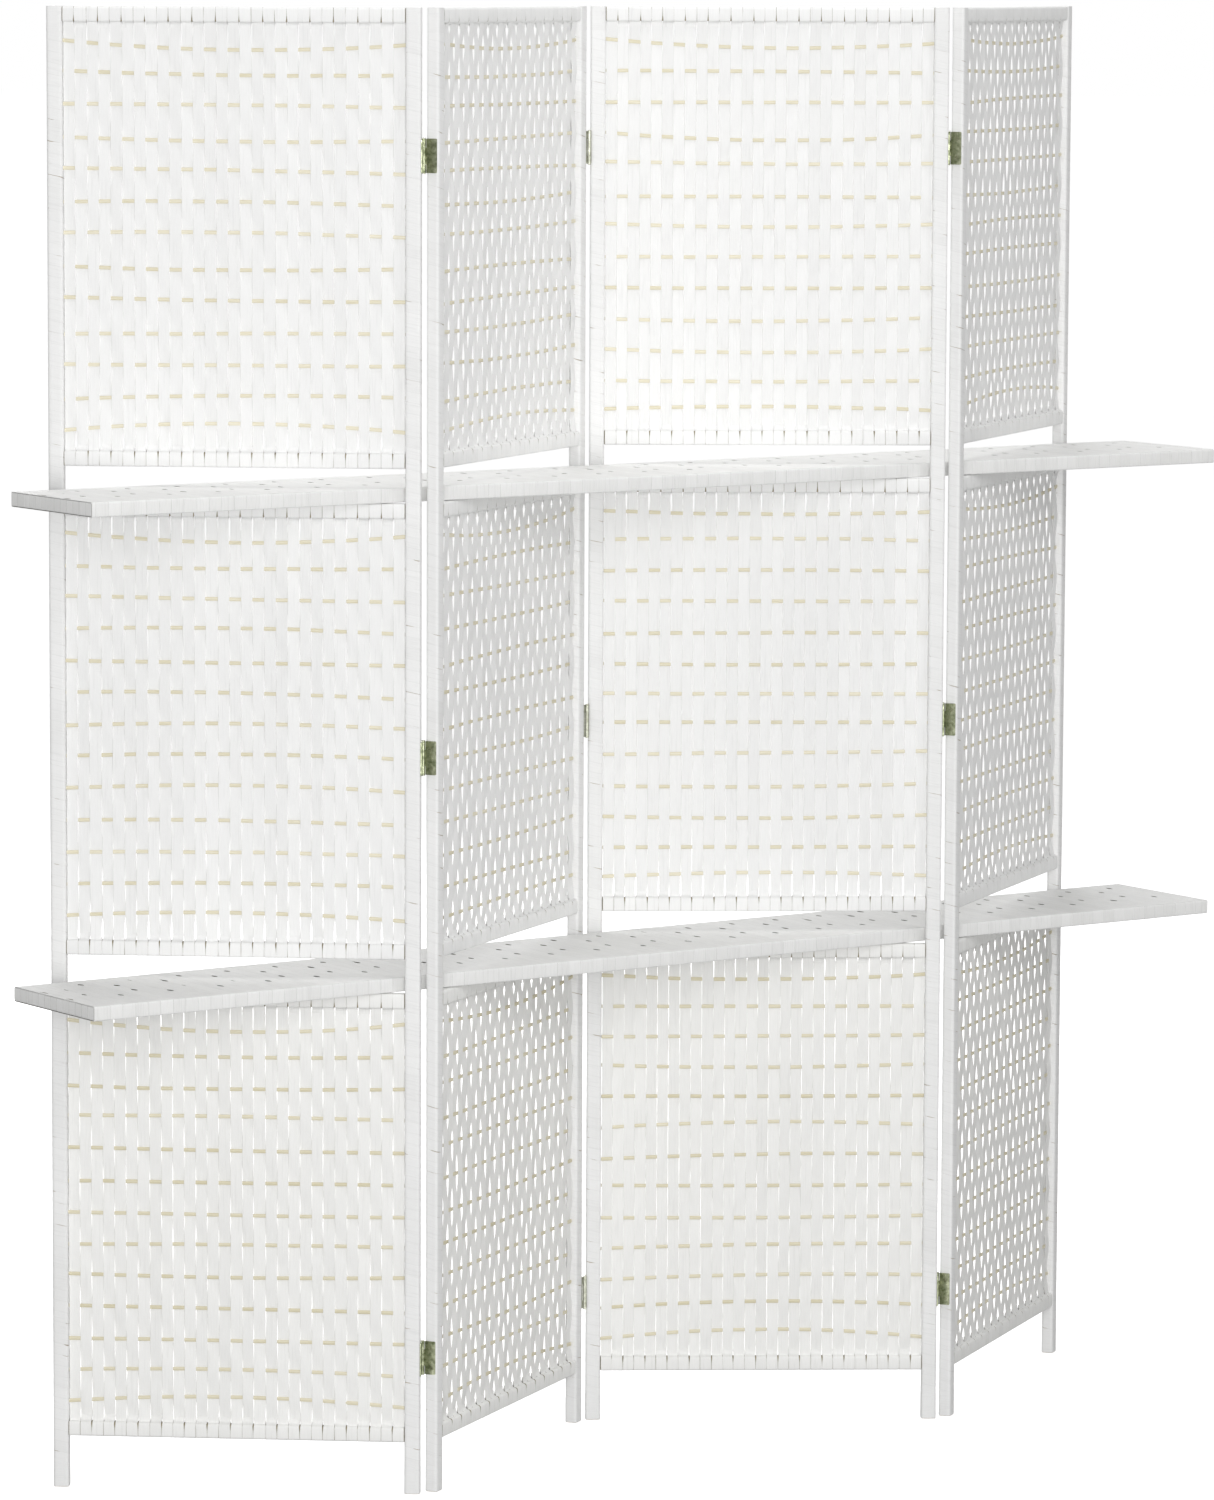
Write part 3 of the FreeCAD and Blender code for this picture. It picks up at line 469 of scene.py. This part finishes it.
def weave(panel, name):
    rng = np.random.RandomState(1000 * panel + {"lower": 1, "middle": 2, "upper": 3}[name])
    zb, zt = LEVELS[name]
    b = Builder(STRIPS)
    knots = np.linspace(zb, zt, 9)
    lines = SIDE0 + PITCH * np.arange(STRIPS + 1)
    lines[1:-1] += rng.normal(0, 0.28, STRIPS - 1)
    gaps = np.clip(rng.choice([0.06, 0.16, 0.40], STRIPS + 1, p=[0.45, 0.35, 0.20])[:, None]
                   + rng.normal(0, 0.12, (STRIPS + 1, 9)), 0.04, 0.9)
    gaps[1::2, 0], gaps[0::2, -1] = 0.15 + 0.75 * SLIT[name][0], 0.15 + 0.75 * SLIT[name][1]
    gaps[0], gaps[-1] = 0.8, 0.4
    zc_b, zc_t = zb + SLEEVE_H / 2, zt - SLEEVE_H / 2
    for k in range(STRIPS):
        mid = (lines[k] + lines[k + 1]) / 2
        side = -1.0 if k % 2 == 0 else 1.0          # even strips pass in front of the rails
        pts = [rail_turn(zc_b, side, False)]
        zone = [np.zeros(len(pts[0]), int)]
        rows = [(float(rod_line(panel, name, r, mid)), (1.0 if (k + r) % 2 == 0 else -1.0) * WAVE) for r in range(ROWS)]
        rows = rows[::-1]
        z0, n0 = pts[0][-1][1], pts[0][-1][0]
        t = np.linspace(0, 1, 9)[1:]
        e = t * t * (3 - 2 * t)
        pts.append(np.stack([n0 + (rows[0][1] - n0) * e, z0 + (rows[0][0] - z0) * t], 1))
        zone.append(np.full(8, 1))
        for (za, na), (zc, nc) in zip(rows[:-1], rows[1:]):
            t = np.linspace(0, 1, 7)[1:]
            e = (1 - np.cos(np.pi * t)) / 2
            pts.append(np.stack([na + (nc - na) * e, za + (zc - za) * t], 1))
            zone.append(np.full(6, 2))
        turn = rail_turn(zc_t, side, True)[::-1]
        z1, n1 = turn[0][1], turn[0][0]
        t = np.linspace(0, 1, 9)[1:-1]
        e = t * t * (3 - 2 * t)
        pts.append(np.stack([rows[-1][1] + (n1 - rows[-1][1]) * e, rows[-1][0] + (z1 - rows[-1][0]) * t], 1))
        zone.append(np.full(7, 3))
        pts.append(turn)
        zone.append(np.full(len(turn), 4))
        pts, zone = np.concatenate(pts), np.concatenate(zone)
        n, z = pts[:, 0], pts[:, 1]
        L = len(n)
        gl, gr = np.interp(z, knots, gaps[k]), np.interp(z, knots, gaps[k + 1])
        # round the rails neighbours close up on one side and part in a wedge on the other
        even = k % 2 == 0
        for at_top in (False, True):
            zin = zt - SLEEVE_H if at_top else zb + SLEEVE_H
            d = (zin - z) if at_top else (z - zin)      # >0 inside the weave, <0 on the rail
            here = (d < 26) & ((zone >= 3) if at_top else (zone <= 1))
            wedge_right = even if at_top else not even
            opened = np.interp(d, [-14, -9, -1, 1.5, 4, 12, 26], [0.2, 0.4, 1.75, 1.2, 0.4, 0.2, 0.2])
            closed = np.interp(d, [-3, -0.5, 1.5, 4, 16, 26], [0.22, 0.35, 1.3, 2.3, 1.7, 0.6])
            c = np.where(d > 0, 0.2 + (closed - 0.2) * SLIT[name][at_top], closed)
            o = opened * (1.7 if panel == 2 and name == "lower" and not at_top else 1.0)
            gl = np.where(here, c if wedge_right else o, gl)
            gr = np.where(here, o if wedge_right else c, gr)
        if k == 0:
            gl = np.full(L, 0.8)
        if k == STRIPS - 1:
            gr = np.full(L, 0.4)
        ragged = drift(rng, L, 2.0, 0.10)
        ragged2 = drift(rng, L, 2.0, 0.10)
        left = (mid - lines[k]) - gl / 2 + ragged
        right = (lines[k + 1] - mid) - gr / 2 + ragged2
        lean = drift(rng, L, 9.0, 0.055)
        off = np.ones(L)
        off[zone == 2] = np.abs(np.sin(np.pi * (np.arange((zone == 2).sum()) + 1) / 6.0))
        off[(zone == 0) | (zone == 4)] = 0.0
        path = np.stack([np.full(L, mid), MID + n, z], 1)
        b.ribbon(path, np.tile([1.0, 0, 0], (L, 1)), left, right, STRIP_T, rng.uniform(0.40, 0.92), lean=lean * off)
    # lower sections take the paper with the painted warm bounce tint
    return b.finish("panel_%d_%s_strips" % (panel, name), lambda p: stand(panel, p), LOW_BOUNCE_TINT_PAPER if name == "lower" else PAPER)


# painted light: rods get a darker, warmer tone lower down, standing in for the light falling off and warming towards
# the floor
ROD_TONE_PAINTED_FALLOFF = {"lower": (0.0, 0.5), "middle": (0.25, 0.75), "upper": (0.4, 0.8)}      # rods are paler higher up


def rods(panel):
    rng = np.random.RandomState(50 + panel)
    b = Builder(39)
    for name in ("lower", "middle", "upper"):
        for row in range(ROWS):
            s = np.linspace(POST_W - 5.5, PANEL_W - POST_W + 5.5, 30)
            z = rod_line(panel, name, row, s) + drift(rng, 30, 4.0, 0.18)
            n = MID + drift(rng, 30, 4.0, 0.12)
            c = np.stack([s, n, z], 1)
            a = np.arange(10) * 2 * np.pi / 10
            size = ROD_R * (0.96 + drift(rng, 30, 3.0, 0.025))
            flat = rng.uniform(0.34, 0.37)
            ring = np.zeros((30, 10, 3))
            ring[..., 0] = c[:, None, 0]
            ring[..., 1] = c[:, None, 1] + size[:, None] * np.cos(a) * flat
            ring[..., 2] = c[:, None, 2] + size[:, None] * np.sin(a)
            b.sweep(ring, np.broadcast_to(a * ROD_R, (30, 10)), s - s[0], rng.uniform(*ROD_TONE_PAINTED_FALLOFF[name]), np.zeros(10))
    return b.finish("panel_%d_bowed_rods" % panel, lambda p: stand(panel, p), ROD_TAN)


# ----------------------------------------------------------- wound posts
def rounded(w, t, r, off, corner=4):
    """Outline of a wound post moved in by off, as points, outward normals and lengths, from the front left corner."""
    pts, nrm = [], []
    def add(x, y, nx, ny):
        pts.append((x + nx * -off, y + ny * -off))
        nrm.append((nx, ny))
    for cx, cy, a0 in ((w - r, r, -90), (w - r, t - r, 0), (r, t - r, 90), (r, r, 180)):
        for q in range(corner):
            a = math.radians(a0 + 90.0 * q / (corner - 1))
            add(cx + r * math.cos(a), cy + r * math.sin(a), math.cos(a), math.sin(a))
    return np.array(pts), np.array(nrm)


FOLDS = 8


def wound_posts(panel):
    rng = np.random.RandomState(90 + panel)
    b = Builder(2 * (FOLDS + 3))
    base, nrm = rounded(POST_W, POST_T, POST_R, 0.0)
    # finer points on the flats
    p, q = [], []
    for i in range(len(base)):
        j = (i + 1) % len(base)
        p.append(base[i]); q.append(nrm[i])
        gap = np.linalg.norm(base[j] - base[i])
        if gap > 5:
            for f in (0.25, 0.5, 0.75):
                p.append(base[i] * (1 - f) + base[j] * f)
                q.append(nrm[i])
    p, q = np.array(p), np.array(q)
    around = len(p)
    step = np.linalg.norm(np.roll(p, -1, 0) - p, axis=1)
    turn_len = step.sum()
    share = np.concatenate([[0], np.cumsum(step)[:-1]]) / turn_len
    pitch, wide = 13.4, 14.0
    for x0 in (0.0, PANEL_W - POST_W):
        turns = int((PANEL_H - 18.0) / pitch)
        t = (np.arange(turns)[:, None] + share[None, :]).reshape(-1)
        pp, nn = np.tile(p, (turns, 1)), np.tile(q, (turns, 1))
        z = PANEL_H - 9.0 - pitch * t
        keep = (z > 9.0)
        t, pp, nn, z = t[keep], pp[keep], nn[keep], z[keep]
        L = len(t)
        z = z + drift(rng, L, 14.0, 0.30)
        up = np.full(L, wide / 2)
        low = np.full(L, wide / 2)
        # short places where two turns have drawn apart
        at = 0.0
        while at < turns:
            run = rng.uniform(0.05, 0.16)
            up -= rng.uniform(0.8, 1.15) * np.clip(1 - ((t - at) / run) ** 2, 0, 1) ** 0.5
            at += rng.uniform(0.5, 2.3)
        n3 = np.concatenate([nn, np.zeros((L, 1))], 1)
        path = np.concatenate([pp + [x0, 0], z[:, None]], 1)
        rise = np.array([0.0, 0.0, 1.0])
        # the lower edge lies on the next turn, the upper edge goes under the one before
        hi = path + rise * up[:, None] - n3 * 0.24
        lo = path - rise * low[:, None] - n3 * 0.11
        near = lo + rise * 0.7 + n3 * 0.0
        h = 0.045
        rings = np.stack([hi + n3 * h, near + n3 * h, lo + n3 * (h - 0.03), lo - n3 * h, hi - n3 * h], 1)
        across = np.stack([up, 0.7 - low, -low, -low, up], 1)
        # painted shade: the lower edge of each turn is darkened toward the edge colour, drawing the seam between turns
        # as a shadow line
        edge = np.array([0.0, 0.0, 0.45, 0.9, 0.0])
        tone = 0.55 + drift(rng, L, 60.0, 0.16)
        b.sweep(rings, across, t * turn_len, np.clip(tone, 0, 1), edge, fold=FOLDS)
        # closing bands at the head and the foot
        for za, zb in ((PANEL_H - 30.0, PANEL_H - 0.45), (0.5, 32.0)):
            prof = [(zb, 0.0), (za, 0.0), (za, 0.06), (zb, 0.06)]
            ring = np.stack([np.concatenate([p + [x0, 0] - q * o, np.full((around, 1), zz)], 1) for zz, o in prof], 1)
            acr = np.broadcast_to(np.array([zz for zz, _ in prof]), (around, 4))
            # a little painted shade at the lower rims of the closing bands
            b.sweep(ring, acr, np.cumsum(step), 0.55, np.array([0.0, 0.1, 0.3, 0.0]), loop=True)
        # folded paper over the head: a low crowned lid
        fold = [(0.2, PANEL_H - 1.2), (0.2, PANEL_H - 0.5), (0.5, PANEL_H - 0.12), (1.4, PANEL_H - 0.02), (3.2, PANEL_H)]
        centre = np.array([x0 + POST_W / 2, POST_T / 2])
        lid = []
        for o, zz in fold:
            inner = p + [x0, 0] - q * min(o, 2.6)
            if o > 2.6:
                inner = centre + (inner - centre) * 0.6
            lid.append(np.concatenate([inner, np.full((around, 1), zz)], 1))
        lid = np.stack(lid, 0)
        b.sweep(lid, np.broadcast_to(np.cumsum(step), (len(fold), around)), np.array([0, 1.0, 2.0, 3.0, 5.0]), 0.6, np.zeros(around))
    return b.finish("panel_%d_wound_strips" % panel, lambda x: stand(panel, x), WOUND, sharp=50.0)


# ---------------------------------------------------------------- shelves
SHELF_STEP = 17.15
SHELF_FIRST = 5.5                                              # first line of the strips, in from the left end
HOLE_ROWS = ((30.0, 1), (58.0, 3), (101.0, 3), (126.0, 1))     # from the back edge, and which lines
END_HOLES = (64.0, 122.0)


def shelf_cover(tier):
    rng = np.random.RandomState(300 + (1 if tier == "lower" else 2))
    zb = SHELF_Z[tier]
    zt = zb + SHELF_T
    t = 0.5
    o = t / 2 + 0.02
    r = 2.5 - o
    y0, y1, za, zc = SHELF_Y0 + o, SHELF_Y1 - o, zb + o, zt - o
    # loop in (y, z): along the top from the back, down the front, along the bottom, up the back
    back = set(np.linspace(r + o, 190.0 - r - o, 12).round(3))
    for row in sorted({h for h, _ in HOLE_ROWS} | set(END_HOLES)):
        back |= {round(row + d, 3) for d in np.arange(-7.5, 7.6, 1.5)}
    back = sorted(back)
    run = [back[0]]
    for d in back[1:-1]:
        if d - run[-1] > 1.2 and back[-1] - d > 1.2:
            run.append(d)
    run.append(back[-1])
    loop = [(SHELF_Y1 - d, zc, 0) for d in run]
    for a in (22.5, 45, 67.5):
        a = math.radians(a)
        loop.append((y0 + r - r * math.sin(a), zc - r + r * math.cos(a), 1))
    loop += [(y0, z, 1) for z in np.linspace(zc - r, za + r, 4)]
    for a in (67.5, 45, 22.5):
        a = math.radians(a)
        loop.append((y0 + r - r * math.sin(a), za + r - r * math.cos(a), 2))
    loop += [(y, za, 2) for y in np.linspace(y0 + r, y1 - r, 26)]
    for a in (22.5, 45, 67.5):
        a = math.radians(a)
        loop.append((y1 - r + r * math.sin(a), za + r - r * math.cos(a), 3))
    loop += [(y1, z, 3) for z in np.linspace(za + r, zc - r, 4)]
    for a in (67.5, 45, 22.5):
        a = math.radians(a)
        loop.append((y1 - r + r * math.sin(a), zc - r + r * math.cos(a), 3))
    loop = np.array(loop)
    ly, lz, face = loop[:, 0], loop[:, 1], loop[:, 2]
    L = len(loop)
    first = -SHELF_X + SHELF_FIRST
    lines = np.concatenate([[-SHELF_X + 0.5], np.arange(first, SHELF_X - 4.0, SHELF_STEP), [SHELF_X - 0.5]])
    count = len(lines) - 1
    across_n = 13
    b = Builder(count + 2 * across_n)
    lines[2:-1] += rng.normal(0, 0.30, count - 2)
    gap = np.clip(rng.normal(0.06, 0.04, (count + 1, 1)) + rng.normal(0, 0.02, (count + 1, L)), 0.02, 0.30)
    depth = np.zeros((count + 1, L))
    for i in range(1, count):
        rows = [(h, rng.uniform(4.6, 6.2), rng.uniform(10.5, 13.5)) for h, phase in HOLE_ROWS if i % 4 == phase]
        if i == 1:
            rows = [(h, 7.0, rng.uniform(15.0, 19.0)) for h in END_HOLES]
        for h, wide, long in rows:
            if rng.uniform() < 0.07:
                wide *= 0.35
            yc = SHELF_Y1 - h + rng.normal(0, 1.0)
            d = np.clip(np.abs(ly - yc) / (long / 2), 0, 1)
            lens = np.sqrt(1 - d * d)
            gap[i] += np.where(face == 0, wide * lens, 0)
            gap[i] += np.where(face == 2, 0.4 * wide * lens, 0)
            dip = np.exp(-((ly - yc) / 9.0) ** 2)
            depth[i] = np.maximum(depth[i], np.where(face == 0, dip, 0))
    for i in range(count):
        mid = (lines[i] + lines[i + 1]) / 2
        gl = gap[i] if i else np.full(L, 0.0)
        gr = gap[i + 1] if i < count - 1 else np.full(L, 0.0)
        left, right = (mid - lines[i]) - gl / 2, (lines[i + 1] - mid) - gr / 2
        left, right = np.maximum(left, 0.4), np.maximum(right, 0.4)
        # beside a hole the strip dips a little and tips towards it
        sink = -0.16 * np.maximum(depth[i], depth[i + 1])
        lean = 0.014 * (depth[i] - depth[i + 1])
        rise = np.where(face == 0, sink - 0.12, 0.0)
        path = np.stack([np.full(L, mid), ly, lz + rise], 1)
        # painted shade: the front faces of the loops get a lower tone than the top, and under=1.0 paints the loops'
        # inner faces dark so the holes look into shade
        shade = rng.uniform(0.5, 1) - 0.6 * (face == 1)
        b.ribbon(path, np.tile([1.0, 0, 0], (L, 1)), left, right, t, np.clip(shade, 0, 1), loop=True, chamfer=0.16, lean=lean, under=1.0, rim=0.15)
    # folded ends: short strips over the end of the frame, under the last long one
    wy = (SHELF_Y1 - SHELF_Y0 - 1.2) / across_n
    for sgn in (-1.0, 1.0):
        e = SHELF_X - o
        for k in range(across_n):
            yc = SHELF_Y0 + 0.6 + wy * (k + 0.5)
            q = 2.0 - o
            h1, h0 = zc - 0.85, za + 0.75
            prof = [(e - 13.0, h1 - 0.1), (e - 7.0, h1), (e - q, h1)]
            for a in (22.5, 45, 67.5):
                a = math.radians(a)
                prof.append((e - q + q * math.sin(a), h1 - q + q * math.cos(a)))
            prof += [(e, h1 - q), (e, (h0 + h1) / 2), (e, h0 + q)]
            for a in (67.5, 45, 22.5):
                a = math.radians(a)
                prof.append((e - q + q * math.sin(a), h0 + q - q * math.cos(a)))
            prof += [(e - q, h0), (e - 7.0, h0), (e - 13.0, h0 + 0.1)]
            prof = np.array(prof)
            path = np.stack([sgn * prof[:, 0], np.full(len(prof), yc), prof[:, 1]], 1)
            half = wy / 2 - rng.uniform(0.06, 0.25)
            # painted shade: the end strips get a low tone so the shelf's end faces read darker, and their inner faces
            # are painted dark
            b.ribbon(path, np.tile([0, sgn, 0], (len(prof), 1)), half, half, 0.45, rng.uniform(0.0, 0.5), chamfer=0.2, under=1.0, rim=0.5)
    return b.finish("%s_shelf_woven_cover" % tier, metres, COVER)


# ------------------------------------------------------------ put together
for panel in (1, 2, 3, 4):
    body = "panel_%d" % panel
    for name in ("lower", "middle", "upper"):
        piece = weave(panel, name)
        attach(piece, body)
        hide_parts("panel_%d_%s_weave" % (panel, name))
    piece = rods(panel)
    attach(piece, body)
    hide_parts("panel_%d_rods" % panel)
    piece = wound_posts(panel)
    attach(piece, body)
    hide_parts("panel_%d_post_wraps" % panel)
for tier in ("lower", "upper"):
    piece = shelf_cover(tier)
    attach(piece, "%s_shelf" % tier)
    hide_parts("%s_shelf_cover" % tier)

for name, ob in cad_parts.items():
    if "hinge_leaves" in name:
        # the middle hinges take the brass paled for a painted reflection
        mat = REFLECTION_PALE_BRASS if "2_right" in name or "3_left" in name else BRASS
    elif "hinge_pins" in name:
        mat = PIN_BRASS
    elif "hinge_screws" in name:
        mat = SCREW
    elif "cross_bars" in name:
        mat = BAR_WOOD_DARKENED_FOR_SHADE
    elif name.endswith("_rails"):
        mat = RAIL_WOOD_DARKENED_FOR_SHADE
    elif name.endswith("_post"):
        mat = POST_WOOD
    elif name.endswith("_rods"):
        mat = ROD_TAN
    else:
        mat = PAPER
    if not ob.material_slots:
        ob.data.materials.append(mat)
    for s in ob.material_slots:
        s.material = mat

# ------------------------------------------------------------------- stage
def floor():
    rings = [0.0, 0.6, 1.2, 2.0, 3.0, 4.5, 7.0, 12.0, 22.0, 45.0, 90.0]
    n = 72
    verts, faces = [(0, 0, 0)], []
    for r in rings[1:]:
        for k in range(n):
            a = 2 * math.pi * k / n
            verts.append((r * math.cos(a), r * math.sin(a), 0.0))
    for k in range(n):
        faces.append((0, 1 + k, 1 + (k + 1) % n))
    for i in range(len(rings) - 2):
        p, q = 1 + i * n, 1 + (i + 1) * n
        for k in range(n):
            faces.append((p + k, q + k, q + (k + 1) % n, p + (k + 1) % n))
    me = bpy.data.meshes.new("studio_floor")
    me.from_pydata(verts, [], faces)
    ob = bpy.data.objects.new("studio_floor", me)
    ob.location.z = -0.0006
    ob.visible_diffuse = False
    bpy.context.scene.collection.objects.link(ob)
    m, nt, bsdf = new_material("pale_studio_floor")
    where = node(nt, "ShaderNodeTexCoord").outputs["Object"]
    soft = noise(nt, where, 3.0, 2.0, 0.5)
    nt.links.new(ramp(nt, soft, [(0.3, (0.92, 0.92, 0.92)), (0.7, (0.945, 0.945, 0.945))]), bsdf.inputs["Base Color"])
    bsdf.inputs["Roughness"].default_value = 0.9
    bsdf.inputs["Specular IOR Level"].default_value = 0.1
    bsdf.inputs["Emission Color"].default_value = (1, 1, 1, 1)
    bsdf.inputs["Emission Strength"].default_value = 0.68
    me.materials.append(m)


floor()


def area(name, at, to, size, power, colour=(1, 1, 1)):
    d = bpy.data.lights.new(name, "AREA")
    d.shape = "RECTANGLE"
    d.size, d.size_y = size
    d.energy = power
    d.color = colour
    ob = bpy.data.objects.new(name, d)
    ob.location = at
    ob.rotation_euler = (Vector(to) - Vector(at)).to_track_quat("-Z", "Y").to_euler()
    bpy.context.scene.collection.objects.link(ob)
    return ob


area("main_softbox", (-3.5, -4.7, 2.0), (0.0, 0.0, 1.1), (3.2, 2.4), 76.0)
area("low_softbox", (-3.3, -4.9, 1.05), (0.0, 0.0, 1.0), (3.0, 1.6), 118.0)
area("front_softbox", (1.1, -3.6, 3.0), (0.1, 0.0, 1.2), (1.8, 1.6), 28.0)
area("top_softbox", (0.0, 0.1, 4.2), (0.0, 0.05, 0.9), (3.4, 2.2), 54.0)
area("back_softbox", (2.2, 4.8, 2.6), (0.0, 0.0, 1.0), (3.2, 2.2), 105.0)

world = bpy.data.worlds.new("soft_studio")
bpy.context.scene.world = world
world.use_nodes = True
wt = world.node_tree
wt.nodes.clear()
out = wt.nodes.new("ShaderNodeOutputWorld")
fill = wt.nodes.new("ShaderNodeBackground")
fill.inputs["Color"].default_value = (1, 1, 1, 1)
fill.inputs["Strength"].default_value = 0.36
seen = wt.nodes.new("ShaderNodeBackground")
seen.inputs["Color"].default_value = (1, 1, 1, 1)
seen.inputs["Strength"].default_value = 1.0
path = wt.nodes.new("ShaderNodeLightPath")
pick = wt.nodes.new("ShaderNodeMixShader")
wt.links.new(path.outputs["Is Camera Ray"], pick.inputs[0])
wt.links.new(fill.outputs[0], pick.inputs[1])
wt.links.new(seen.outputs[0], pick.inputs[2])
wt.links.new(pick.outputs[0], out.inputs["Surface"])

bpy.context.scene.view_settings.view_transform = "Standard"
bpy.context.scene.view_settings.look = "None"

# ------------------------------------------------------------------ camera
cam = bpy.data.cameras.new("photo_view")
cam.sensor_width = 36.0
cam.lens = 162.261
cam.clip_start, cam.clip_end = 0.1, 400.0
eye = bpy.data.objects.new("photo_view", cam)
right, up, ahead = (0.82386, -0.566777, 0.004311), (0.061816, 0.097412, 0.993323), (0.563412, 0.818092, -0.11529)
eye.matrix_world = Matrix((
    (right[0], up[0], -ahead[0], -4.800699),
    (right[1], up[1], -ahead[1], -6.923645),
    (right[2], up[2], -ahead[2], 1.850664),
    (0, 0, 0, 1)))
bpy.context.scene.collection.objects.link(eye)
bpy.context.scene.camera = eye

bpy.context.view_layer.update()
